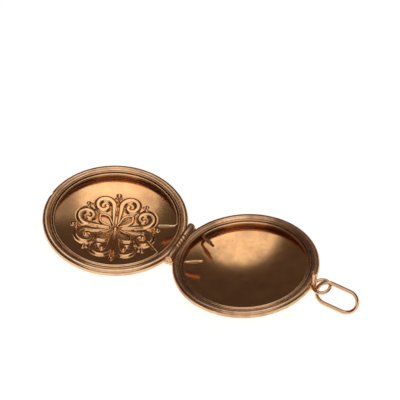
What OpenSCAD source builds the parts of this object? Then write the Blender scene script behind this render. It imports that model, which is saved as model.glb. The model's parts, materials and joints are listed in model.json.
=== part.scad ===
// Round hinged photo locket lying open on its two domes, millimetres, +Z up.
// The front cover lies toward -X, the back toward +X with the bail at its far end.
// Each half is drawn level about its own centre, then leaned up from the hinge pin.

/* [Halves] */
// Outer radius of both rims
rim_r = 13.5; // [12:0.25:15]
// Height of the rim band
rim_h = 1.42; // [1.2:0.02:1.6]
// Rounding of the rim band's outer corners
rim_round = 0.6; // [0.4:0.05:0.6]
// Inside radius of the rim, where the photo seat starts
rim_bore_r = 12.05; // [12:0.05:12.1]
// Inside radius of the photo seat
seat_bore_r = 11.68; // [11.6:0.02:11.7]
// Depth of each bowl at its centre, below the mating plane
bowl_depth = 3.3; // [3:0.1:3.6]
// Depth of each bowl at the foot of the photo seat
seat_depth = 1.75; // [1.7:0.05:1.8]
// Thickness of the stamped sheet
sheet = 0.33; // [0.25:0.01:0.4]
// Gap that each rim keeps to the mating plane when the locket is shut
shut_gap = 0.03; // [0.02:0.01:0.05]

/* [Hinge] */
// How far each half is raised from level in the open position
lean = 3; // [2.5:0.25:4]
// Angle between the hinge pin and the mating planes, from a pin set a little askew
skew = 1.37; // [0:0.01:1.5]
// Distance of the pin's axis inside the rims' outer edge
pin_inset = 0.11; // [0.05:0.01:0.2]
// Radius of the hinge barrel
barrel_r = 0.68; // [0.6:0.02:0.7]
// Length of one of the three knuckles
knuckle_l = 3.2; // [2.8:0.1:3.2]
// Radius of the hinge pin
pin_r = 0.3; // [0.25:0.01:0.35]
// Radial play of the front knuckle on the pin
pin_play = 0.03; // [0.02:0.01:0.05]

/* [Photo rings] */
// Radius of the spring wire
wire_r = 0.25; // [0.2:0.01:0.26]
// Radial play of the ring in its seat
ring_play = 0.03; // [0.02:0.01:0.06]
// Half of the angle left open beside the hinge
ring_gap = 19.5; // [15:0.5:25]
// Length of each turned-in end
end_l = 3.4; // [3:0.1:3.6]
// Angle of the ends from the line through the hinge
end_turn = 28; // [20:1:30]
// Height of the front ring's wire below the mating plane
front_ring_drop = 0.55; // [0.5:0.05:0.7]
// Height of the back ring's wire below the mating plane
back_ring_drop = 0.65; // [0.55:0.05:0.8]

/* [Bail] */
// Outside radius of the tube that stands on the back rim
post_r = 0.53; // [0.45:0.01:0.55]
// Bore radius of that tube
post_bore_r = 0.36; // [0.25:0.01:0.38]
// Height of the tube above the mating plane
post_top = 2.5; // [1.6:0.1:2.8]
// Radius of the eye at the middle of its wire
eye_r = 1.53; // [1.52:0.01:1.54]
// Radius of the eye's wire
eye_wire_r = 0.33; // [0.28:0.01:0.34]
// Sideways lean of the eye
eye_lean = 7.5; // [6.5:0.5:8.5]
// Width of the oval jump ring at the middle of its wire
oval_w = 4.24; // [4.22:0.01:4.26]
// Length of the oval jump ring at the middle of its wire
oval_l = 7.77; // [7.75:0.01:7.8]
// Radius of the jump ring's wire
oval_wire_r = 0.39; // [0.3:0.01:0.4]

/* [Rosette] */
// Distance of the scroll eyes from the centre of the cover
scroll_at = 6.3; // [5.5:0.1:6.8]
// Radius of each scroll
scroll_r = 1.25; // [1:0.05:1.4]
// Height of the stamped relief
relief = 0.28; // [0.15:0.01:0.3]

/* [Hidden] */
$fn = 96;
// Facets of the large spheres that shape the domes, of wires, and of small details
dome_fn = 360;
wire_fn = 32;
detail_fn = 24;
// Steps round the rim band's rounded corners
corner_steps = 8;
// Overshoot of cutting tools, so that no cut ends flush with a face
over = 1;

gold = "#d8a46c";
brown_gold = "#a9764c";
bright_gold = "#efc07f";

// The hinge pin lies this far from the centre of each half
reach = rim_r - pin_inset;
// Bowl: two spheres about one centre, one sheet apart
bowl_fall = bowl_depth - seat_depth;
bowl_r = (seat_bore_r * seat_bore_r + bowl_fall * bowl_fall) / (2 * bowl_fall);
bowl_up = bowl_r - bowl_depth;
// The dome ends where its inside meets the underside of the rim
dome_edge_r = sqrt(bowl_r * bowl_r - (bowl_up + rim_h) * (bowl_up + rim_h));
// Height of the pin when both domes rest on the table
pin_z = bowl_r + sheet - reach * sin(lean) - bowl_up * cos(lean) * cos(skew);
// Top of the rim's crest, and the radius where its outer rounding starts
crest_z = -shut_gap;
crest_r = rim_r - rim_round;
crest_w = 0.25;
// Height of the flange's inner edge and of the seat's top on each half
front_flange_z = -0.14;
front_seat_z = -0.2;
back_flange_z = -0.25;
back_seat_z = -0.32;
// The rims are cut flat this far from the pin's axis, to clear the barrel
flat_at = barrel_r + 0.1;
// Radius of the trough that the barrel turns in
trough_r = barrel_r + 0.06;
plate_half_l = 1.5 * knuckle_l;
plate_top = -0.25;
// Half of the slit between the two trough plates
plate_gap = 0.05;
knuckle_gap = 0.04;
// Grooves between the beads: radius of the groove, and how far outside the barrel it is centred
bead_groove_r = 0.2;
bead_groove_out = 0.1;
// The pin stands proud of the outer knuckles
pin_proud = 0.05;
// Sleeves on the photo rings' ends: wall, then distance from the bend and length
sleeve_wall = 0.12;
front_sleeve = [1.4, 1.9];
back_sleeve = [1.2, 1.4];
// Middle of the photo rings' wire
ring_r = seat_bore_r - ring_play - wire_r;
// The tube's axis, outside the back rim
post_at = rim_r + 0.3;
notch_r = post_r + 0.22;
eye_at = rim_r + eye_wire_r + eye_r;
eye_z = -0.2;
// Pose of the jump ring: its slope, its swing and its roll about its own length
oval_slope = 15.8;
oval_swing = 6.4;
oval_roll = 64.9;
oval_end_r = oval_w / 2;
oval_half = (oval_l - oval_w) / 2;
// How far the tilted ring reaches down and along from its middle
oval_down = oval_half * sin(oval_slope) + oval_wire_r
    + oval_end_r * norm([sin(oval_slope), cos(oval_slope) * sin(oval_roll)]);
oval_x = 31.77;
oval_y = -0.04;
oval_tip = oval_x + oval_half * cos(oval_slope) * cos(oval_swing) + oval_wire_r
    + oval_end_r * norm([cos(oval_slope) * cos(oval_swing),
        cos(oval_roll) * sin(oval_swing) - sin(oval_roll) * sin(oval_slope) * cos(oval_swing)]);
// The front rim's far end is where the notch meets the rim band's outer edge
notch_edge = (rim_r * rim_r - notch_r * notch_r + post_at * post_at) / (2 * post_at);
front_tip = (reach + notch_edge) * cos(lean) + (rim_h - rim_round) * sin(lean);
// The origin is under the middle of the whole length
pin_x = (front_tip - oval_tip) / 2;

rosette_turn = -23.5;
scroll_half_angle = 19;
// Stems of the rosette: their length, and how far they start behind their middle
stem_l = 3.6;
stem_back = 2.6;
// Radius of the button in the middle
button_r = 2 * relief;

// Frames: the hinge frame has the pin along Y; the half frame is centred on the rim
module back_hinge_frame() {
    translate([pin_x, 0, pin_z]) rotate([0, -lean, 0]) children();
}

module front_hinge_frame() {
    translate([pin_x, 0, pin_z]) rotate([0, lean, 0]) children();
}

module back_half() {
    back_hinge_frame() rotate([-skew, 0, 0]) translate([reach, 0, 0]) children();
}

module front_half() {
    front_hinge_frame() rotate([skew, 0, 0]) translate([-reach, 0, 0]) children();
}

// Height of the bowl's inside at a radius
function bowl_z(r) = bowl_up - sqrt(bowl_r * bowl_r - r * r);

// Points of the rim's rounded corner, from one angle to another
function corner(z, from, to) =
    [for (k = [0:corner_steps]) let (a = from + (to - from) * k / corner_steps)
        [crest_r + rim_round * cos(a), z + rim_round * sin(a)]];

// Section of a rim: rounded band outside, flange sloping down to the seat
module rim_section(flange_z) {
    polygon(concat(
        [[rim_bore_r, bowl_z(rim_bore_r)], [dome_edge_r, -rim_h]],
        corner(rim_round - rim_h, -90, 0),
        corner(crest_z - rim_round, 0, 90),
        [[crest_r - crest_w, crest_z], [rim_bore_r, flange_z]]));
}

module rim(flange_z) {
    rotate_extrude() rim_section(flange_z);
}

// Room for the barrel: everything past the flat, on the hinge side
module barrel_room(side) {
    translate([side * (reach - flat_at), -rim_r, -2 * rim_h])
        mirror([side < 0 ? 1 : 0, 0, 0]) cube([rim_r, 2 * rim_r, 4 * rim_h]);
}

// Sheet between two spheres, trimmed to the dome's edge
module dome() {
    intersection() {
        difference() {
            translate([0, 0, bowl_up]) sphere(r = bowl_r + sheet, $fn = dome_fn);
            translate([0, 0, bowl_up]) sphere(r = bowl_r, $fn = dome_fn);
        }
        translate([0, 0, -bowl_depth - over])
            cylinder(r = dome_edge_r, h = bowl_depth + over - rim_h / 2);
    }
}

// Upright wall that the photo ring springs against, standing on the dome
module seat(top_z) {
    difference() {
        translate([0, 0, -seat_depth - over])
            cylinder(r = rim_bore_r, h = seat_depth + over + top_z);
        translate([0, 0, -seat_depth - 2 * over])
            cylinder(r = seat_bore_r, h = seat_depth + 3 * over);
        difference() {
            translate([0, 0, -seat_depth - 2 * over]) cylinder(r = rim_r, h = seat_depth + over);
            translate([0, 0, bowl_up]) sphere(r = bowl_r, $fn = dome_fn);
        }
    }
}

// Places a child on the bowl's inside, at a distance from the centre, facing it
module on_bowl(distance, angle) {
    tip = asin(distance / bowl_r);
    rotate([0, 0, angle]) translate([0, 0, bowl_up]) rotate([0, -tip, 0])
        translate([0, 0, -bowl_r]) children();
}

module scroll() {
    rotate_extrude() translate([scroll_r, 0]) circle(r = relief, $fn = detail_fn);
}

module stem() {
    translate([-stem_back, 0, 0]) rotate([0, 90, 0]) cylinder(r = relief, h = stem_l, $fn = detail_fn);
}

// Stamped relief, standing up on the inside of the cover
module rosette() {
    for (lobe = [0:3]) {
        for (side = [-1, 1]) {
            on_bowl(scroll_at, rosette_turn + 90 * lobe + side * scroll_half_angle) scroll();
        }
        on_bowl(scroll_at / 2, rosette_turn + 90 * lobe) stem();
        on_bowl(scroll_at / 2, rosette_turn + 90 * lobe + 45) stem();
    }
    on_bowl(0, 0) sphere(r = button_r);
}

// Trough plate soldered to a rim's flat, under the barrel
module hinge_plate(side) {
    difference() {
        translate([side > 0 ? plate_gap : -flat_at, -plate_half_l, -rim_h])
            cube([flat_at - plate_gap, 2 * plate_half_l, rim_h + plate_top]);
        rotate([90, 0, 0]) cylinder(r = trough_r, h = 4 * plate_half_l, center = true);
    }
}

// One knuckle about the pin's axis with its foot in the trough; grooves turn it into beads
module knuckle(middle, side, bore_r, grooves) {
    length = knuckle_l - knuckle_gap;
    translate([0, middle, 0]) difference() {
        union() {
            rotate([90, 0, 0]) cylinder(r = barrel_r, h = length, center = true);
            intersection() {
                rotate([90, 0, 0]) cylinder(r = trough_r, h = length, center = true);
                translate([side > 0 ? plate_gap : -over, -length, -over])
                    cube([over - plate_gap, 2 * length, over + plate_top]);
            }
        }
        rotate([90, 0, 0]) cylinder(r = bore_r, h = 2 * knuckle_l, center = true);
        for (k = [1:1:grooves]) {
            translate([0, length * (k / (grooves + 1) - 0.5), 0]) rotate([90, 0, 0])
                rotate_extrude() translate([barrel_r + bead_groove_out, 0])
                    circle(r = bead_groove_r, $fn = detail_fn);
        }
    }
}

// Open spring ring with both ends turned in; the opening faces +X
module photo_ring() {
    rotate([0, 0, ring_gap]) rotate_extrude(angle = 360 - 2 * ring_gap)
        translate([ring_r, 0]) circle(r = wire_r, $fn = wire_fn);
    for (side = [-1, 1]) {
        ring_end(side) cylinder(r = wire_r, h = end_l, $fn = wire_fn);
        ring_end(side) sphere(r = wire_r, $fn = wire_fn);
    }
}

// Frame of one turned-in end: +Z runs along it, from the bend to the tip
module ring_end(side) {
    translate([ring_r * cos(ring_gap), side * ring_r * sin(ring_gap), 0])
        rotate([0, 0, 180 + side * end_turn]) rotate([0, 90, 0]) children();
}

// Sleeves pushed onto the turned-in ends, to grip them by
module grips(sleeve) {
    for (side = [-1, 1]) {
        ring_end(side) translate([0, 0, sleeve[0]]) difference() {
            cylinder(r = wire_r + sleeve_wall, h = sleeve[1], $fn = wire_fn);
            translate([0, 0, -over]) cylinder(r = wire_r, h = sleeve[1] + 2 * over, $fn = wire_fn);
        }
    }
}

module front_shell() {
    color(gold) front_half() {
        dome();
        intersection() {
            rosette();
            translate([0, 0, bowl_up]) sphere(r = bowl_r + sheet / 2);
        }
    }
}

module front_rim() {
    color(bright_gold) front_half() difference() {
        rim(front_flange_z);
        barrel_room(1);
        translate([-post_at, 0, -rim_r]) cylinder(r = notch_r, h = 2 * rim_r);
    }
}

module front_seat() {
    color(gold) front_half() seat(front_seat_z);
}

module front_hinge_plate() {
    color(brown_gold) front_hinge_frame() hinge_plate(-1);
}

module front_knuckle() {
    color(bright_gold) front_hinge_frame() knuckle(0, -1, pin_r + pin_play, 3);
}

module front_photo_ring() {
    color(bright_gold) front_half() translate([0, 0, -front_ring_drop]) photo_ring();
}

module front_ring_grips() {
    color(brown_gold) front_half() translate([0, 0, -front_ring_drop]) grips(front_sleeve);
}

module back_shell() {
    color(gold) back_half() dome();
}

module back_rim() {
    color(brown_gold) back_half() difference() {
        rim(back_flange_z);
        barrel_room(-1);
        translate([post_at, 0, -rim_r]) cylinder(r = post_r, h = 2 * rim_r);
    }
}

module back_seat() {
    color(gold) back_half() seat(back_seat_z);
}

module back_hinge_plate() {
    color(brown_gold) back_hinge_frame() hinge_plate(1);
}

module back_knuckle_far() {
    color(brown_gold) back_hinge_frame() knuckle(knuckle_l, 1, pin_r, 0);
}

module back_knuckle_near() {
    color(brown_gold) back_hinge_frame() knuckle(-knuckle_l, 1, pin_r, 0);
}

module hinge_pin() {
    color(bright_gold) back_hinge_frame() rotate([90, 0, 0])
        cylinder(r = pin_r, h = 3 * knuckle_l + 2 * pin_proud, center = true);
}

module back_photo_ring() {
    color(bright_gold) back_half() translate([0, 0, -back_ring_drop]) mirror([1, 0, 0]) photo_ring();
}

module back_ring_grips() {
    color(brown_gold) back_half() translate([0, 0, -back_ring_drop]) mirror([1, 0, 0]) grips(back_sleeve);
}

module bail_post() {
    color(bright_gold) back_half() translate([post_at, 0, -rim_h]) difference() {
        cylinder(r = post_r, h = rim_h + post_top);
        translate([0, 0, -over]) cylinder(r = post_bore_r, h = rim_h + post_top + 2 * over);
    }
}

module bail_eye() {
    color(gold) back_half() difference() {
        translate([eye_at, 0, eye_z]) rotate([eye_lean, 0, 0]) rotate_extrude()
            translate([eye_r, 0]) circle(r = eye_wire_r, $fn = wire_fn);
        translate([post_at, 0, -rim_r]) cylinder(r = post_r, h = 2 * rim_r);
    }
}

// Oval ring with round ends, lying through the eye with its low side on the table
module jump_ring() {
    color(bright_gold) translate([pin_x + oval_x, oval_y, oval_down])
        rotate([0, 0, oval_swing]) rotate([0, oval_slope, 0]) rotate([oval_roll, 0, 0]) {
            for (side = [-1, 1]) {
                translate([side * oval_half, 0, 0]) rotate([0, 0, -90 * side])
                    rotate_extrude(angle = 180) translate([oval_end_r, 0])
                        circle(r = oval_wire_r, $fn = wire_fn);
                translate([0, side * oval_end_r, 0]) rotate([0, 90, 0])
                    cylinder(r = oval_wire_r, h = 2 * oval_half, center = true, $fn = wire_fn);
            }
        }
}

front_shell();
front_rim();
front_seat();
front_hinge_plate();
front_knuckle();
front_photo_ring();
front_ring_grips();
back_shell();
back_rim();
back_seat();
back_hinge_plate();
back_knuckle_far();
back_knuckle_near();
hinge_pin();
back_photo_ring();
back_ring_grips();
bail_post();
bail_eye();
jump_ring();
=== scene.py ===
# %% [markdown]
# # An open photo locket in rose gold
# The locket is two shallow gold bowls on one hinge. Each bowl has a rolled rim, an upright
# seat and a sprung wire ring that would hold a small round photo. The front cover is stamped
# with a rosette, seen here from inside. A tube, an eye and an oval ring hold it on a chain.
#
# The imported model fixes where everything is. This first cell loads it and reads the hinge
# pin and the middle of each half from its joints, so that those places aren't typed again.

# %% Load the frame and find the two halves
import json
import math
import bpy
import numpy as np
from mathutils import Matrix, Vector


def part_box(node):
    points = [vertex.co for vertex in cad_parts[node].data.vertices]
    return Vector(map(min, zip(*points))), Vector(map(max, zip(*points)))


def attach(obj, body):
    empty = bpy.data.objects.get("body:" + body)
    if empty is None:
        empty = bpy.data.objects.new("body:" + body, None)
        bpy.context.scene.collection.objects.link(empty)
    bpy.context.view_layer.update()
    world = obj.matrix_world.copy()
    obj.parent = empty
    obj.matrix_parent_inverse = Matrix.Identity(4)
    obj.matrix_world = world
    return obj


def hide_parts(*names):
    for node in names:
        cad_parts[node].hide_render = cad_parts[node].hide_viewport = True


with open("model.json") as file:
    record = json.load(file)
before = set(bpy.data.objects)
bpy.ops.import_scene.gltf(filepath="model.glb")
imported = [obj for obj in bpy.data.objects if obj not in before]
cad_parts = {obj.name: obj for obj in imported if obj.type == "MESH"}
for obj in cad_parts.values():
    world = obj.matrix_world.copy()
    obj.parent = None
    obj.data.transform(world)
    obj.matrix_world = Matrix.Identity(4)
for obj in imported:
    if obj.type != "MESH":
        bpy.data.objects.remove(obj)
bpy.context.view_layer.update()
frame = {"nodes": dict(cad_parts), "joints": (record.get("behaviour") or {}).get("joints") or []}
MM = 0.001
joints = {joint["name"]: joint for joint in frame["joints"]}
pin = Vector(joints["cover_hinge"]["pos_m"])


def half_frame(joint_name):
    """Matrix of a half: origin in the middle of its rim, Z out of the bowl, X square to the pin."""
    joint = joints[joint_name]
    up = Vector(joint["axis"]).normalized()
    along = Vector((up.z, 0, -up.x)).normalized()
    place = Matrix((along, up.cross(along), up)).transposed().to_4x4()
    place.translation = joint["pos_m"]
    return place


COVER = half_frame("cover_ring_turn")
BACK = half_frame("back_ring_turn")
print("pin at", [round(c / MM, 2) for c in pin], "mm")

# %% [markdown]
# ## The camera
# The camera comes first, because every later choice is judged through it. A long lens from
# far away keeps both round bowls the same size. The camera looks down at 45 degrees from the
# near right, and is turned a little about its own axis.

# %% Camera
CAMERA_BACK = 814.9 * MM
CAMERA_LENS = 396
AIM_FROM_PIN = (-1.66, 11.47, 0)
CAMERA_AZIMUTH = math.radians(27.31)
CAMERA_HEIGHT = math.radians(44.89)
CAMERA_ROLL = math.radians(-1.2)

bpy.ops.object.select_all(action="DESELECT")
target = pin + Vector(AIM_FROM_PIN) * MM
to_camera = Vector((math.sin(CAMERA_AZIMUTH) * math.cos(CAMERA_HEIGHT),
                    -math.cos(CAMERA_AZIMUTH) * math.cos(CAMERA_HEIGHT),
                    math.sin(CAMERA_HEIGHT)))
bpy.ops.object.camera_add(location=target + to_camera * CAMERA_BACK)
camera = bpy.context.object
camera.data.lens = CAMERA_LENS
camera.data.sensor_width = 36
camera.data.clip_start = 0.05
camera.rotation_mode = "QUATERNION"
aim = (-to_camera).to_track_quat("-Z", "Y")
camera.rotation_quaternion = aim @ Matrix.Rotation(CAMERA_ROLL, 3, "Z").to_quaternion()
bpy.context.scene.camera = camera
print("camera", round(CAMERA_BACK / MM), "mm away, lens", camera.data.lens)

# %% [markdown]
# ## Floor and light
# Polished gold has almost no colour of its own: it shows what it reflects. One large soft
# panel hangs behind the locket and overhead. The far slope of each bowl reflects the panel
# and turns bright, and the near slope reflects the dim room below it and stays dark brown.
# The round edge of the panel is what draws the curved border across the bowls. A weak panel
# beside it lifts the left side of each bowl a little. A wide one on the camera's side
# brightens the near edges, and the white floor glows, so that the shadows stay faint.

# %% Floor, panels and room
PAPER_GREY = (0.45, 0.45, 0.45, 1)
PAPER_GLOW = 0.86
ROOM_TINT = (0.54, 0.41, 0.36, 1)
ROOM_LIGHT = 0.14

bpy.ops.mesh.primitive_plane_add(size=6, location=(0, 0, 0))
floor = bpy.context.object
floor.name = "floor"
paper = bpy.data.materials.new("white_paper")
paper.use_nodes = True
paper_shader = paper.node_tree.nodes["Principled BSDF"]
paper_shader.inputs["Base Color"].default_value = PAPER_GREY
paper_shader.inputs["Roughness"].default_value = 0.9
paper_shader.inputs["Emission Color"].default_value = (1, 1, 1, 1)
paper_shader.inputs["Emission Strength"].default_value = PAPER_GLOW
floor.data.materials.append(paper)


def soft_panel(name, azimuth, height, distance, size, power, shape="RECTANGLE"):
    """A flat light at a compass angle and height in degrees, facing the locket."""
    a = math.radians(azimuth)
    e = math.radians(height)
    out = Vector((math.sin(a) * math.cos(e), -math.cos(a) * math.cos(e), math.sin(e)))
    bpy.ops.object.light_add(type="AREA", location=pin + out * distance)
    panel = bpy.context.object
    panel.name = name
    panel.rotation_mode = "QUATERNION"
    panel.rotation_quaternion = (-out).to_track_quat("-Z", "Y")
    panel.data.shape = shape
    panel.data.size = size[0]
    panel.data.size_y = size[1]
    panel.data.energy = power
    print("light", name, "at", azimuth, height)
    return panel


soft_panel("overhead_panel", 207, 73, 0.9, (0.50, 0.84), 1.06, "ELLIPSE")
soft_panel("side_panel", 150, 62, 1.0, (0.7, 1.0), 0.55)
soft_panel("near_panel", 25, 46, 1.2, (1.5, 1.4), 5.2)

room = bpy.data.worlds.new("dim_room")
room.use_nodes = True
backdrop = room.node_tree.nodes["Background"]
backdrop.inputs["Color"].default_value = ROOM_TINT
backdrop.inputs["Strength"].default_value = ROOM_LIGHT
bpy.context.scene.world = room
bpy.context.scene.view_settings.view_transform = "Standard"

# %% [markdown]
# ## Writing shader maths as sums
# A gold finish is a handful of masks multiplied and mixed. Building each Math node by hand
# hides the sum, so a small class wraps a socket, and writing `1 - dirt * 0.4` adds the
# nodes. Any other node comes from one method, which takes the node's type, its settings
# and the values or links of its sockets.

# %% Shader sockets as numbers
class Value:
    """A shader socket that can be added, subtracted and multiplied."""

    def __init__(self, tree, socket):
        self.tree = tree
        self.socket = socket

    def maths(self, operation, first, second):
        node = self.tree.nodes.new("ShaderNodeMath")
        node.operation = operation
        for socket, value in zip(node.inputs, (first, second)):
            if isinstance(value, Value):
                self.tree.links.new(value.socket, socket)
            else:
                socket.default_value = value
        return Value(self.tree, node.outputs[0])

    def __add__(self, other):
        return self.maths("ADD", self, other)

    def __radd__(self, other):
        return self.maths("ADD", other, self)

    def __sub__(self, other):
        return self.maths("SUBTRACT", self, other)

    def __rsub__(self, other):
        return self.maths("SUBTRACT", other, self)

    def __mul__(self, other):
        return self.maths("MULTIPLY", self, other)

    def __rmul__(self, other):
        return self.maths("MULTIPLY", other, self)


class Finish:
    """A material under construction, with one method that adds any node."""

    def __init__(self, name):
        self.material = bpy.data.materials.new(name)
        self.material.use_nodes = True
        self.tree = self.material.node_tree
        self.shader = self.tree.nodes["Principled BSDF"]

    def node(self, kind, settings=None, inputs=None, output=0):
        """Adds a node, applies its settings, then sets or links its sockets."""
        made = self.tree.nodes.new("ShaderNode" + kind)
        for key, value in (settings or {}).items():
            if key == "stops":
                ramp = made.color_ramp.elements
                while len(ramp) < len(value):
                    ramp.new(1)
                for element, (place, level) in zip(ramp, value):
                    element.position = place
                    element.color = (level, level, level, 1)
            else:
                setattr(made, key, value)
        for key, value in (inputs or {}).items():
            self.feed(made.inputs[key], value)
        return Value(self.tree, made.outputs[output])

    def feed(self, socket, value):
        if isinstance(value, Value):
            self.tree.links.new(value.socket, socket)
        else:
            socket.default_value = value

    def mix(self, share, first, second):
        """Mixes two colours by a mask."""
        made = self.tree.nodes.new("ShaderNodeMix")
        made.data_type = "RGBA"
        for place, value in ((0, share), (6, first), (7, second)):
            self.feed(made.inputs[place], value)
        return Value(self.tree, made.outputs[2])


# %% [markdown]
# ## Worn rose gold
# Old gold is never one colour. The polish survives where fingers and cloths reach, a brown
# film settles elsewhere, and every surface carries fine hairlines, small pits and dark
# specks. One function makes all the finishes from the same four layers: a slow cloudy film,
# a fine sandy grain, two directions of stretched hairlines, and specks. The arguments say
# how much of each a finish has.

# %% The gold recipe
BRIGHT_GOLD = (0.93, 0.52, 0.23, 1)
PALE_GOLD = (0.86, 0.54, 0.30, 1)
# Brown of the tarnish film, also used as painted shade on the seats' walls and in the stamping's
# hollows.
TARNISH_AND_SHADE_BROWN = (0.42, 0.20, 0.11, 1)
SPECK_BROWN = (0.10, 0.055, 0.035, 1)
SOLDER_YELLOW = (0.88, 0.68, 0.28, 1)
# How fine each layer is, in features per metre
CLOUDS = 260
SAND = 9000
SPECKS = 900
SPECK_PATCHES = 420
LONG_LINES = (600, 14000, 2000)
CROSS_LINES = (12000, 500, 2000)
# How deep the finest marks are, in metres
MARK_DEPTH = 0.000012


def noise(finish, place, scale, detail=3, rough=0.6):
    """Cloudy noise from 0 to 1, with its features about 1/scale metres wide."""
    return finish.node("TexNoise", {}, {"Vector": place, "Scale": scale, "Detail": detail,
                                        "Roughness": rough})


def worn_gold(name, bright=BRIGHT_GOLD, film=0.35, gloss=0.2, grain=0.1, lines=0.3, specks=0.3,
              relief=False):
    """A gold finish: a brown film, base roughness, grain, hairlines and specks, and with relief,
    painted shade in the hollows of the stamping.
    """
    finish = Finish(name)
    place = finish.node("TexCoord", output=3)
    clouds = noise(finish, place, CLOUDS)
    cloud_mask = finish.node("ValToRGB", {"stops": ((0.36, 0), (0.68, 1))}, {"Fac": clouds})
    sand = noise(finish, place, SAND, 2, 0.7)
    long_ways = finish.node("Mapping", {}, {"Vector": place, "Rotation": (0, 0, 0.5),
                                            "Scale": LONG_LINES})
    cross_ways = finish.node("Mapping", {}, {"Vector": place, "Rotation": (0, 0, -0.9),
                                             "Scale": CROSS_LINES})
    first_lines = finish.node("ValToRGB", {"stops": ((0.60, 0), (0.72, 1))},
                              {"Fac": noise(finish, long_ways, 1, 2)})
    second_lines = finish.node("ValToRGB", {"stops": ((0.62, 0), (0.74, 1))},
                               {"Fac": noise(finish, cross_ways, 1, 2)})
    hairlines = first_lines + second_lines
    pits = finish.node("ValToRGB", {"stops": ((0.0, 1), (0.10, 1), (0.20, 0))},
                       {"Fac": finish.node("TexVoronoi", {}, {"Vector": place, "Scale": SPECKS})})
    dirt = pits * finish.node("ValToRGB", {"stops": ((0.55, 0), (0.66, 1))},
                              {"Fac": noise(finish, place, SPECK_PATCHES)})
    tarnish_and_shade = cloud_mask * film
    # Over the stamping the brown film is cut back, and the low parts of the relief get extra brown:
    # painted shade in the hollows.
    if relief:
        height = finish.node("Attribute", {"attribute_name": "relief"}, output=2)
        hollow_shade = finish.node("ValToRGB", {"stops": ((0.0, 1), (0.55, 0.15), (1.0, 0))},
                             {"Fac": height})
        inside = finish.node("Attribute", {"attribute_name": "stamped"}, output=2)
        tarnish_and_shade = tarnish_and_shade * (1 - inside * 0.6) + inside * hollow_shade * 0.3
    colour = finish.mix(tarnish_and_shade, bright, TARNISH_AND_SHADE_BROWN)
    colour = finish.mix(dirt * specks, colour, SPECK_BROWN)
    bump = finish.node("Bump", {}, {"Strength": 0.35, "Distance": MARK_DEPTH,
                                    "Height": sand * grain - hairlines * lines * 0.5 - dirt})
    finish.feed(finish.shader.inputs["Base Color"], colour)
    finish.feed(finish.shader.inputs["Roughness"],
                gloss + cloud_mask * 0.05 + sand * grain * 0.15 + hairlines * lines * 0.1)
    finish.feed(finish.shader.inputs["Normal"], bump)
    finish.shader.inputs["Metallic"].default_value = 1
    print("finish", name)
    return finish.material


BOWL_GOLD = worn_gold("bowl_gold", film=0.5, gloss=0.05, grain=0.9, lines=0.4, specks=0.6)
STAMPED_GOLD = worn_gold("stamped_gold", film=0.40, gloss=0.13, grain=0.2, lines=0.35,
                         specks=0.5, relief=True)
RIM_GOLD = worn_gold("rim_gold", PALE_GOLD, film=0.45, gloss=0.17, grain=0.2, lines=0.5,
                     specks=0.4)
BACK_RIM_GOLD = worn_gold("back_rim_gold", PALE_GOLD, film=0.8, gloss=0.22, grain=0.4, lines=0.4,
                          specks=0.7)
# The seats' walls: a dark brown gold that stands for painted shade.
SEAT_PAINTED_SHADE = worn_gold("seat_painted_shade", TARNISH_AND_SHADE_BROWN, film=0.5, gloss=0.16, grain=0.2, lines=0.3,
                      specks=0.6)
WIRE_GOLD = worn_gold("wire_gold", PALE_GOLD, film=0.25, gloss=0.14, grain=0.2, lines=0.2,
                      specks=0.2)
HINGE_GOLD = worn_gold("hinge_gold", PALE_GOLD, film=0.5, gloss=0.26, grain=0.8, lines=0.6,
                       specks=0.9)
SOLDER_GOLD = worn_gold("solder_gold", SOLDER_YELLOW, film=0.3, gloss=0.25, grain=0.6, lines=0.1,
                        specks=0.2)

# %% [markdown]
# ## Turning a section on a lathe
# Rims, seats, bowls, knuckles and tubes are all turned shapes. The section is drawn as a
# loop of edges and spun a full turn. The work is done with one unit as one millimetre,
# because the operators' merge distances suit that size. Then the piece is shrunk to metres
# and put in its half's frame, and that place goes into its mesh.

# %% The lathe
TURN = 2 * math.pi
MERGE = 0.0005
DRILL_L = 20


def start_loop(name, points, closed=True):
    """A loop of edges through (x, z) points, from a primitive circle, left in object mode."""
    bpy.ops.object.select_all(action="DESELECT")
    bpy.ops.mesh.primitive_circle_add(vertices=len(points), fill_type="NOTHING")
    piece = bpy.context.object
    piece.name = name
    piece.data.name = name
    for vertex, (x, z) in zip(piece.data.vertices, points):
        vertex.co = (x, 0, z)
    if not closed:
        ends = {0, len(points) - 1}
        bpy.ops.object.mode_set(mode="EDIT")
        bpy.ops.mesh.select_mode(type="EDGE")
        bpy.ops.mesh.select_all(action="DESELECT")
        bpy.ops.object.mode_set(mode="OBJECT")
        for edge in piece.data.edges:
            edge.select = set(edge.vertices) == ends
        bpy.ops.object.mode_set(mode="EDIT")
        bpy.ops.mesh.delete(type="EDGE")
        bpy.ops.object.mode_set(mode="OBJECT")
    return piece


def turned(name, points, closed=True, steps=180, angle=TURN, axis=(0, 0, 1)):
    """Spins a section about an axis through the origin, in millimetres."""
    piece = start_loop(name, points, closed)
    bpy.ops.object.mode_set(mode="EDIT")
    bpy.ops.mesh.select_all(action="SELECT")
    bpy.ops.mesh.spin(steps=steps, angle=angle, center=(0, 0, 0), axis=axis)
    bpy.ops.mesh.select_all(action="SELECT")
    bpy.ops.mesh.remove_doubles(threshold=MERGE)
    bpy.ops.mesh.normals_make_consistent(inside=False)
    bpy.ops.object.mode_set(mode="OBJECT")
    return piece


def make_active(piece):
    bpy.ops.object.select_all(action="DESELECT")
    piece.select_set(True)
    bpy.context.view_layer.objects.active = piece


def cut_flat(piece, x):
    """Cuts a piece off square at an x, on the side away from the middle, and closes it."""
    make_active(piece)
    bpy.ops.object.mode_set(mode="EDIT")
    bpy.ops.mesh.select_all(action="SELECT")
    bpy.ops.mesh.bisect(plane_co=(x, 0, 0), plane_no=(1, 0, 0), use_fill=True,
                        clear_outer=x > 0, clear_inner=x < 0)
    bpy.ops.object.mode_set(mode="OBJECT")


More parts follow.
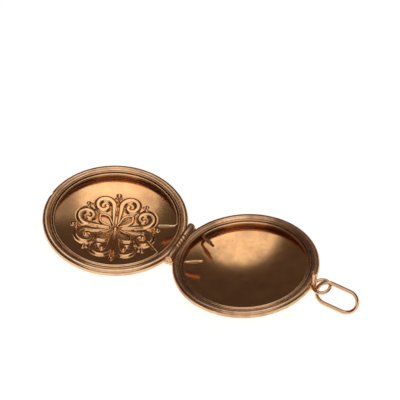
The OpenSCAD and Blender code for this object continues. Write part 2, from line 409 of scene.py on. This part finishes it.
def bore(piece, x, radius):
    """Cuts a round upright hole through a piece."""
    bpy.ops.object.select_all(action="DESELECT")
    bpy.ops.mesh.primitive_cylinder_add(vertices=48, radius=radius, depth=DRILL_L,
                                        location=(x, 0, 0))
    drill = bpy.context.object
    make_active(piece)
    cut = piece.modifiers.new("bore", "BOOLEAN")
    cut.object = drill
    cut.operation = "DIFFERENCE"
    bpy.ops.object.modifier_apply(modifier="bore")
    bpy.data.objects.remove(drill)


def settle(piece, place, material, body, replaced, smooth=35):
    """Shrinks a piece to metres, puts it in place, gives it its finish, hangs it on its body and
    hides the frame parts it replaces.
    """
    make_active(piece)
    piece.matrix_world = place @ Matrix.Scale(MM, 4)
    bpy.ops.object.transform_apply(location=True, rotation=True, scale=True)
    bpy.ops.object.shade_smooth_by_angle(angle=math.radians(smooth))
    piece.data.materials.clear()
    piece.data.materials.append(material)
    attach(piece, body)
    if replaced:
        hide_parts(*replaced)
    print(piece.name, len(piece.data.polygons), "faces")
    return piece


def join(name, pieces):
    """Joins several meshes into one object."""
    bpy.ops.object.select_all(action="DESELECT")
    for piece in pieces:
        piece.select_set(True)
    bpy.context.view_layer.objects.active = pieces[0]
    bpy.ops.object.join()
    pieces[0].name = name
    return pieces[0]


def arc(x, z, radius, start, end, count=8):
    """Points of an arc, with angles in degrees."""
    angles = [math.radians(start + (end - start) * k / count) for k in range(count + 1)]
    return [(x + radius * math.cos(a), z + radius * math.sin(a)) for a in angles]


# %% [markdown]
# ## The two rims
# Each rim is a rolled band with a flange that slopes down to the photo seat. The lathe left
# fine grooves on the flange, and a dark line shows where the seat is soldered in. The rims
# are cut flat beside the hinge to clear the barrel. The cover's rim has a small round notch
# that passes the bail's tube when the locket is shut.
#
# Sizes from here on are in millimetres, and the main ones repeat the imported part's own.

# %% Rim sections
RIM_R = 13.5
RIM_H = 1.42
ROUND = 0.6
CREST_Z = -0.03
CREST_W = 0.25
CREST_EDGE = 0.03
FLANGE_EDGE = 0.07
FLANGE_DROP = 0.08
RIM_GAP = 0.01
BORE_R = 12.05
SEAT_R = 11.68
BOWL_R = 44.78
BOWL_DEPTH = 3.3
BOWL_UP = BOWL_R - BOWL_DEPTH
SHEET = 0.33
DOME_EDGE_R = 12.84
FLAT_X = 12.61
POST_X = 13.8
POST_R = 0.53
NOTCH_R = 0.75
RIM_STEPS = 240


def bowl_z(r):
    """Height of the bowl's inside at a radius."""
    return BOWL_UP - math.sqrt(BOWL_R ** 2 - r ** 2)


def groove(r, slope_z, width=0.06, depth=0.07):
    """Three points of a lathe groove in a sloping flange."""
    return [(r + width, slope_z(r + width)), (r, slope_z(r) - depth),
            (r - width, slope_z(r - width))]


def rim_section(flange_z, grooves):
    """Outline of a rim: underside, rolled band, crest, grooved flange."""
    crest_in = RIM_R - ROUND - CREST_W

    def slope_z(r):
        return flange_z + (CREST_Z - flange_z) * (r - BORE_R) / (crest_in - BORE_R)

    points = [(BORE_R, bowl_z(BORE_R) + RIM_GAP), (DOME_EDGE_R, -RIM_H)]
    points += arc(RIM_R - ROUND, ROUND - RIM_H, ROUND, -90, 0)
    points += arc(RIM_R - ROUND, CREST_Z - ROUND, ROUND, 0, 90)
    points += arc(crest_in + CREST_EDGE, CREST_Z - CREST_EDGE, CREST_EDGE, 90, 130, 2)
    for r in grooves:
        points += groove(r, slope_z)
    flange_in = BORE_R + FLANGE_EDGE
    points += [(flange_in, slope_z(flange_in)), (BORE_R, flange_z - FLANGE_DROP)]
    return points


# %% Turn both rims
front_rim = turned("cover_rim", rim_section(-0.14, (12.52, 12.36)), steps=RIM_STEPS)
cut_flat(front_rim, FLAT_X)
bore(front_rim, -POST_X, NOTCH_R)
settle(front_rim, COVER, RIM_GOLD, "cover", ["front_rim"])
back_rim = turned("back_rim_band", rim_section(-0.25, (12.5,)), steps=RIM_STEPS)
cut_flat(back_rim, -FLAT_X)
bore(back_rim, POST_X, POST_R)
settle(back_rim, BACK, BACK_RIM_GOLD, "back", ["back_rim"])

# %% [markdown]
# ## The photo seats
# A seat is a thin upright ring soldered inside the rim, with a half round top edge. Its wall is a
# dark brown gold as painted shade, and the faces that look up get the rim's brighter gold as
# painted light.

# %% Turn both seats
SOLDER_LINE = 0.04
FOOT_GAP = 0.005
LOOKS_UP = 0.25


def seat_section(crown_z):
    """Outline of a seat: its foot on the bowl, and a half round crown about a height."""
    half_wall = (BORE_R - SEAT_R - SOLDER_LINE) / 2
    inner_foot = (SEAT_R, bowl_z(SEAT_R) + FOOT_GAP)
    outer_foot = (SEAT_R + 2 * half_wall, bowl_z(BORE_R) + FOOT_GAP)
    return [inner_foot, outer_foot] + arc(SEAT_R + half_wall, crown_z, half_wall, 0, 180, 10)


seats = (("cover_seat", -0.2655, COVER, "cover", "front_seat"),
         ("back_seat_wall", -0.3855, BACK, "back", "back_seat"))
for name, crown_z, place, body, node in seats:
    seat = turned(name, seat_section(crown_z), steps=RIM_STEPS)
    settle(seat, place, SEAT_PAINTED_SHADE, body, [node])
    # Faces that look up get the brighter rim gold and the rest keep the dark brown: painted light
    # and painted shade chosen by which way a face looks.
    seat.data.materials.append(RIM_GOLD)
    up = place.to_3x3() @ Vector((0, 0, 1))
    for face in seat.data.polygons:
        face.material_index = 1 if face.normal.dot(up) > LOOKS_UP else 0

# %% [markdown]
# ## The plain back bowl
# The bowl is a shallow dish of thin sheet, so its section is two arcs about one centre. The
# section is open at the axis, where the spin closes it.

# %% Back bowl
def dish_section(rings):
    """Inside from the middle to the edge, then the outside back to the middle."""
    inside = [DOME_EDGE_R * k / rings for k in range(rings + 1)]
    outer_r = BOWL_R + SHEET
    points = [(r, bowl_z(r)) for r in inside]
    points += [(r, BOWL_UP - math.sqrt(outer_r ** 2 - r ** 2)) for r in reversed(inside)]
    return points


back_bowl = turned("back_bowl", dish_section(48), closed=False, steps=200)
cut_flat(back_bowl, -FLAT_X)
settle(back_bowl, BACK, BOWL_GOLD, "back", ["back_shell"])

# %% [markdown]
# ## The stamped rosette
# The cover was struck from a die, so its sheet follows one smooth height everywhere, raised
# inside and hollow outside. That calls for a height worked out at each point of a fine dish.
# The pattern repeats four times and each quarter is a mirror of itself, so every point
# is folded into half a quarter first, where u runs along the middle of a fan and v across it.
# A stroke is a row of round mounds along a path, and its height is that of the highest mound
# over the point. A quarter has two fat scrolls on long stems, a pointed leaf between stems, a
# hollow fan between raised borders, and small buds outside. Every other fan is hatched.

# %% Paths of the strokes
RELIEF = 0.46
QUARTER_TURN = 66.5
SCROLL_U, SCROLL_V = 5.40, 1.97
SCROLL_R = 1.75
SCROLL_TURNS = 1.0
STEM_START = (0.85, 0.36)
FAN_START = 0.8
FAN_END = 4.2
FAN_NECK = 0.34
FAN_BELLY = 0.82


def scroll_path():
    """Rows of (u, v, width, height) along a stem and round its scroll, ending in its eye."""
    diagonal = math.sqrt(0.5)
    start = np.array(STEM_START)
    end = np.array((SCROLL_U - SCROLL_R * diagonal, SCROLL_V + SCROLL_R * diagonal))
    bend = end - 1.5 * diagonal
    rows = []
    for t in np.linspace(0, 1, 50, endpoint=False):
        u, v = (1 - t) ** 2 * start + 2 * t * (1 - t) * bend + t ** 2 * end
        rows.append((u, v, 0.22 + 0.52 * t, 0.50 + 0.45 * t))
    for t in np.linspace(0, 1, 110):
        angle = math.radians(135) - t * SCROLL_TURNS * TURN
        r = SCROLL_R * (1 - t) ** 0.7 + 0.40 * t
        rows.append((SCROLL_U + r * math.cos(angle), SCROLL_V + r * math.sin(angle),
                     0.76 - 0.20 * t, 0.95 + 0.15 * t))
    return np.array(rows)


def fan_edge(u):
    """Half width of a fan: a teardrop from the middle that closes where the scrolls meet."""
    t = np.clip((u - FAN_START) / (FAN_END - FAN_START), 0, 1)
    return FAN_NECK * (1 - t) + FAN_BELLY * np.sin(math.pi * t ** 1.6)


def border_path():
    """Rows for the raised border round a fan."""
    return [(u, fan_edge(u), 0.24 + 0.05 * u, 0.9) for u in np.linspace(FAN_START, FAN_END, 90)]


def stroke(u, v, path):
    """Height of a row of mounds over each point."""
    height = np.zeros_like(u)
    for mound_u, mound_v, width, tall in path:
        near = np.clip(1 - ((u - mound_u) ** 2 + (v - mound_v) ** 2) / width ** 2, 0, None)
        np.maximum(height, tall * near * (2 - near), out=height)
    return height


# %% The rosette's height
GROUND_R = 5.2
GROUND_EDGE = 0.8
GROUND_H = 0.22
FAN_INSIDE = (1.2, 4.0)
BORDER_HALF = 0.22
FAN_FLOOR = 0.08
HATCH_H = 0.24
HATCH_W = 0.08
COLLAR_R = 1.0
COLLAR_W = 0.12
COLLAR_H = 0.5
BUTTON_R = 0.66
BUTTON_H = 1.15


def leaf(s, t, start, end, half_width, tall):
    """A pointed leaf along s, with a groove down its middle."""
    along = np.clip((s - start) / (end - start), 0, 1)
    wide = half_width * np.sin(np.pi * along) ** 0.8 + 1e-6
    body = np.sqrt(np.clip(1 - (t / wide) ** 2, 0, None))
    return tall * body * (1 - 0.45 * np.exp(-(t / 0.07) ** 2))


def rosette_height(x, y):
    """Height of the stamping, 0 to about 1, over points given in millimetres."""
    r = np.hypot(x, y)
    turn = np.degrees(np.arctan2(y, x)) - QUARTER_TURN
    quarter = np.floor((turn + 45) / 90)
    fold = np.radians(np.abs((turn + 45) % 90 - 45))
    u, v = r * np.cos(fold), r * np.sin(fold)
    s, t = r * np.cos(math.pi / 4 - fold), r * np.sin(math.pi / 4 - fold)
    off_scroll = np.hypot(u - SCROLL_U, v - SCROLL_V)
    ground = np.clip(np.minimum(r - GROUND_R, off_scroll - SCROLL_R) / GROUND_EDGE, 0, 1)
    height = GROUND_H * (1 - ground ** 2 * (3 - 2 * ground))
    height = np.maximum(height, stroke(u, v, scroll_path()))
    height = np.maximum(height, leaf(s, t, 3.0, 7.0, 0.42, 0.85))
    height = np.maximum(height, stroke(u, v, border_path()))
    inside_fan = (u > FAN_INSIDE[0]) & (u < FAN_INSIDE[1]) & (v < fan_edge(u) - BORDER_HALF)
    ribs = 0.5 + 0.5 * np.cos(math.pi * v / (HATCH_W * u))
    height = np.where(inside_fan, FAN_FLOOR + HATCH_H * ribs * (quarter % 2 == 0), height)
    height = np.maximum(height, leaf(u, v, 4.3, 6.0, 0.38, 0.75))
    buds = ((s, t, 7.75, 0.0, 0.48, 0.9), (s, t, 7.15, 0.36, 0.28, 0.75),
            (u, v, 7.7, 0.0, 0.36, 0.8), (u, v, 7.2, 0.34, 0.26, 0.65))
    for a, b, at, side, width, tall in buds:
        height = np.maximum(height, stroke(a, b, ((at, side, width, tall),)))
    height = np.maximum(height, COLLAR_H * np.exp(-((r - COLLAR_R) / COLLAR_W) ** 2))
    button = BUTTON_H * np.sqrt(np.clip(1 - (r / BUTTON_R) ** 2, 0, None))
    return np.maximum(height, button)


# %% Strike the cover's sheet
STAMP_R = 9.0
STAMP_RINGS = 104
PLAIN_RINGS = 12
STAMP_EDGE = 8.9
STAMP_FADE = 1.4


def stamped_section():
    """The cover's open section, with fine rings under the stamping."""
    fine = [STAMP_R * k / STAMP_RINGS for k in range(STAMP_RINGS)]
    plain = [STAMP_R + (DOME_EDGE_R - STAMP_R) * k / PLAIN_RINGS for k in range(PLAIN_RINGS + 1)]
    rings = fine + plain
    outer_r = BOWL_R + SHEET
    points = [(r, bowl_z(r)) for r in rings]
    points += [(r, BOWL_UP - math.sqrt(outer_r ** 2 - r ** 2)) for r in reversed(rings)]
    return points


cover_bowl = turned("cover_bowl", stamped_section(), closed=False, steps=400)
points = np.array([vertex.co for vertex in cover_bowl.data.vertices])
height = rosette_height(points[:, 0], points[:, 1])
off_middle = np.hypot(points[:, 0], points[:, 1])
stamped = np.clip((STAMP_EDGE - off_middle) / STAMP_FADE, 0, 1)
for attribute, values in (("relief", height), ("stamped", stamped)):
    layer = cover_bowl.data.attributes.new(attribute, "FLOAT", "POINT")
    layer.data.foreach_set("value", np.asarray(values, np.float32))
points[:, 2] += RELIEF * height
cover_bowl.data.vertices.foreach_set("co", points.ravel())
cover_bowl.data.update()
cut_flat(cover_bowl, FLAT_X)
settle(cover_bowl, COVER, STAMPED_GOLD, "cover", ["front_shell"], smooth=60)

# %% [markdown]
# ## Wire work
# The photo rings, the eye and the oval ring are bent from round wire, so each is a path
# with a round section. A path curve with a bevel is the natural tool: it keeps the wire one
# thickness round every bend. It is turned into a mesh before it is placed.

# %% Bending wire
def wire(name, path, radius, closed=False, sides=5, ridge=0):
    """A round wire along a list of points. A ridge above 0 thins it at every other point."""
    bpy.ops.object.select_all(action="DESELECT")
    bpy.ops.curve.primitive_nurbs_path_add()
    piece = bpy.context.object
    piece.name = name
    piece.data.splines.clear()
    spline = piece.data.splines.new("POLY")
    spline.points.add(len(path) - 1)
    for index, (point, place) in enumerate(zip(spline.points, path)):
        point.co = (*place, 1)
        point.radius = 1 - ridge * (index % 2)
    spline.use_cyclic_u = closed
    piece.data.dimensions = "3D"
    piece.data.bevel_depth = radius
    piece.data.bevel_resolution = sides
    piece.data.use_fill_caps = True
    bpy.ops.object.convert(target="MESH")
    piece = bpy.context.object
    bpy.ops.object.mode_set(mode="EDIT")
    bpy.ops.mesh.select_all(action="SELECT")
    bpy.ops.mesh.remove_doubles(threshold=MERGE)
    bpy.ops.mesh.normals_make_consistent(inside=False)
    bpy.ops.object.mode_set(mode="OBJECT")
    return piece


def eased_corner(before, corner, after, count=8):
    """Points that round a corner between two others."""
    a, b, c = Vector(before), Vector(corner), Vector(after)
    steps = [k / count for k in range(count + 1)]
    return [tuple((1 - t) ** 2 * a + 2 * t * (1 - t) * b + t ** 2 * c) for t in steps]


# %% [markdown]
# ## The photo rings
# Each ring is an open hoop whose two ends turn inwards. Pressing the ends together frees
# the ring and lets the photo out. Ribbed sleeves on the ends give a fingernail its grip.

# %% Photo rings and their sleeves
RING_R = 11.40
RING_WIRE = 0.25
RING_GAP = math.radians(19.5)
END_TURN = math.radians(28)
END_L = 3.4
BEND_EASE = 0.55
RIB_TOP = 0.16
RIB_FOOT = 0.03
SLEEVE_GRIP = 0.02


def end_corner(side):
    return Vector((RING_R * math.cos(RING_GAP), side * RING_R * math.sin(RING_GAP), 0))


def end_way(side):
    return Vector((-math.cos(END_TURN), -side * math.sin(END_TURN), 0))


def photo_ring_path():
    """From one tip, out along its end, round the hoop and back along the other end."""
    path = []
    for side in (1, -1):
        corner = end_corner(side)
        angle = side * (RING_GAP + BEND_EASE / RING_R)
        on_hoop = (RING_R * math.cos(angle), RING_R * math.sin(angle), 0)
        bend = eased_corner(corner + end_way(side) * BEND_EASE, corner, on_hoop)
        leg = [tuple(corner + end_way(side) * END_L)] + bend
        if side > 0:
            path += leg
            start = RING_GAP + BEND_EASE / RING_R
            turn = TURN - 2 * start
            angles = [start + turn * k / 160 for k in range(1, 160)]
            path += [(RING_R * math.cos(a), RING_R * math.sin(a), 0) for a in angles]
        else:
            path += reversed(leg)
    return path


def sleeve_section(length, ribs):
    """Ribbed outline of a sleeve along its own axis."""
    outer = RING_WIRE + RIB_TOP
    inner = RING_WIRE + RIB_FOOT
    pitch = length / ribs
    points = [(RING_WIRE - SLEEVE_GRIP, 0)]
    for k in range(ribs):
        start = k * pitch
        points += [(inner, start + RIB_FOOT), (outer, start + 0.3 * pitch),
                   (outer, start + 0.7 * pitch), (inner, start + pitch - RIB_FOOT)]
    return points + [(RING_WIRE - SLEEVE_GRIP, length)]


def sleeve(side, start, length, ribs):
    """One sleeve, turned upright and then laid along an end of the ring."""
    piece = turned("sleeve", sleeve_section(length, ribs), closed=False, steps=24)
    way = end_way(side)
    place = way.to_track_quat("Z", "X").to_matrix().to_4x4()
    place.translation = end_corner(side) + way * start
    piece.data.transform(place)
    return piece


rings = (("cover", "front", COVER, 0, -0.55, 1.4, 1.9, 5),
         ("back", "back", BACK, math.pi, -0.65, 1.2, 1.4, 4))
for half, node, place, turn, drop, start, length, ribs in rings:
    seat_place = place @ Matrix.Translation((0, 0, drop * MM)) @ Matrix.Rotation(turn, 4, "Z")
    body = half + "_ring"
    settle(wire(half + "_photo_ring", photo_ring_path(), RING_WIRE), seat_place, WIRE_GOLD, body,
           [node + "_photo_ring"])
    sleeves = [sleeve(side, start, length, ribs) for side in (1, -1)]
    settle(join(half + "_ring_sleeves", sleeves), seat_place, WIRE_GOLD, body,
           [node + "_ring_grips"])

# %% [markdown]
# ## The hinge
# Three knuckles share one pin. The outer two belong to the back and are plain. The middle
# one belongs to the cover and was filed into four beads. Their edges are rounded where they
# have rubbed, so each is turned with soft corners instead of taken from the plain frame. The
# beaded one turns on the pin, so its bore is a little wider.

# %% Knuckles
HINGE = Matrix.Translation(pin)
BARREL_R = 0.68
KNUCKLE_L = 3.16
KNUCKLE_STEP = 3.2
PIN_R = 0.3
PIN_PLAY = 0.03
BEAD_DIP = 0.2
SOFT = 0.06


def knuckle_section(beads):
    """Outline of a knuckle along its own axis, from end to end, with a bead at each step."""
    pitch = KNUCKLE_L / beads
    bore_r = PIN_R + (PIN_PLAY if beads > 1 else 0)
    points = [(bore_r, -KNUCKLE_L / 2)]
    for k in range(beads):
        start = -KNUCKLE_L / 2 + k * pitch
        if beads > 1:
            rise = [(BARREL_R - BEAD_DIP * (2 * t - 1) ** 4, start + t * pitch)
                    for t in [j / 10 for j in range(11)]]
            points += rise if k == 0 else rise[1:]
        else:
            points += arc(BARREL_R - SOFT, start + SOFT, SOFT, -90, 0, 3)
            points += arc(BARREL_R - SOFT, start + pitch - SOFT, SOFT, 0, 90, 3)
    return points + [(bore_r, KNUCKLE_L / 2)]


def knuckle(name, beads, offset, body, node, material):
    piece = turned(name, knuckle_section(beads), steps=48)
    piece.data.transform(Matrix.Rotation(math.radians(-90), 4, "X"))
    place = HINGE @ Matrix.Translation((0, offset * MM, 0))
    settle(piece, place, material, body, [node])


knuckle("beaded_knuckle", 4, 0, "cover", "front_knuckle", RIM_GOLD)
knuckle("far_knuckle", 1, KNUCKLE_STEP, "back", "back_knuckle_far", HINGE_GOLD)
knuckle("near_knuckle", 1, -KNUCKLE_STEP, "back", "back_knuckle_near", HINGE_GOLD)

# %% [markdown]
# ## The bail
# A short tube stands on the back's rim, and a wire eye is soldered at its foot. The oval
# ring hangs through the eye. Its wire still shows the marks of the file, so it carries fine
# ridges. A yellower bead of solder sits where the tube meets the rim.

# %% Tube, eye, solder and oval ring
POST_TOP = 2.5
EYE_R = 1.53
EYE_WIRE = 0.33
EYE_X = RIM_R + EYE_WIRE + EYE_R
EYE_Z = -0.2
EYE_LEAN = math.radians(7.5)
EYE_MOUTH = math.radians(16)
POST_BORE_R = 0.36
SOLDER_SIZE = (0.3, 0.42, 0.5)
SOLDER_AT = (13.4, -0.62, -0.78)
FILE_MARK = 0.07
OVAL_POSE = (math.radians(64.9), math.radians(15.8), math.radians(6.4))
OVAL_W = 4.24
OVAL_L = 7.77
OVAL_WIRE = 0.39


def tube_section(bottom, top, outer, inner, lip=0.05, depth=0.3, dish=0.06):
    """Half outline of a tube with a softened lip and a dished plug of solder inside."""
    points = [(0, bottom), (outer, bottom)]
    points += arc(outer - lip, top - lip, lip, 0, 90, 4)
    points += arc(inner + lip, top - lip, lip, 90, 180, 4)
    return points + [(inner, top - depth), (0, top - depth - dish)]


post = turned("bail_tube", tube_section(-RIM_H, POST_TOP, POST_R, POST_BORE_R), False, steps=48)
settle(post, BACK @ Matrix.Translation((POST_X * MM, 0, 0)), WIRE_GOLD, "back",
       ["bail_post"])

eye_path = []
for a in np.linspace(EYE_MOUTH - math.pi, math.pi - EYE_MOUTH, 97):
    eye_path.append((EYE_R * math.cos(a), EYE_R * math.sin(a), 0))
eye = wire("bail_eye_wire", eye_path, EYE_WIRE)
eye_place = BACK @ Matrix.Translation((EYE_X * MM, 0, EYE_Z * MM))
settle(eye, eye_place @ Matrix.Rotation(EYE_LEAN, 4, "X"), WIRE_GOLD, "back",
       ["bail_eye"])

bpy.ops.object.select_all(action="DESELECT")
bpy.ops.mesh.primitive_uv_sphere_add(segments=32, ring_count=20, radius=1)
solder = bpy.context.object
solder.name = "solder_bead"
solder.data.transform(Matrix.Diagonal((*SOLDER_SIZE, 1)))
settle(solder, BACK @ Matrix.Translation(Vector(SOLDER_AT) * MM), SOLDER_GOLD, "back", [])


def oval_path(straight=16, bend=34):
    """A stadium: two straights joined by half circles, in short even steps."""
    end_r = OVAL_W / 2
    half = (OVAL_L - OVAL_W) / 2
    path = []
    for side in (1, -1):
        path += [(side * half * (2 * k / straight - 1), -side * end_r, 0) for k in range(straight)]
        path += [(x, z, 0) for x, z in arc(side * half, 0, end_r, -90 * side, 180 - 90 * side,
                                           bend)[:-1]]
    return path


oval = wire("oval_ring", oval_path(), OVAL_WIRE, closed=True, sides=6, ridge=FILE_MARK)
low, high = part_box("jump_ring")
oval_place = Matrix.Translation((low + high) / 2)
for angle, axis in zip(reversed(OVAL_POSE), "ZYX"):
    oval_place = oval_place @ Matrix.Rotation(angle, 4, axis)
settle(oval, oval_place, WIRE_GOLD, "jump_ring", ["jump_ring"])

# %% [markdown]
# ## Frame pieces that stay
# The trough plates and the pin have the right shape already, so they only get a finish.

# %% Finish the plates and the pin
for node in ("front_hinge_plate", "back_hinge_plate", "hinge_pin"):
    piece = frame["nodes"][node]
    piece.data.materials.clear()
    piece.data.materials.append(HINGE_GOLD)
print("kept from the frame: plates and pin")
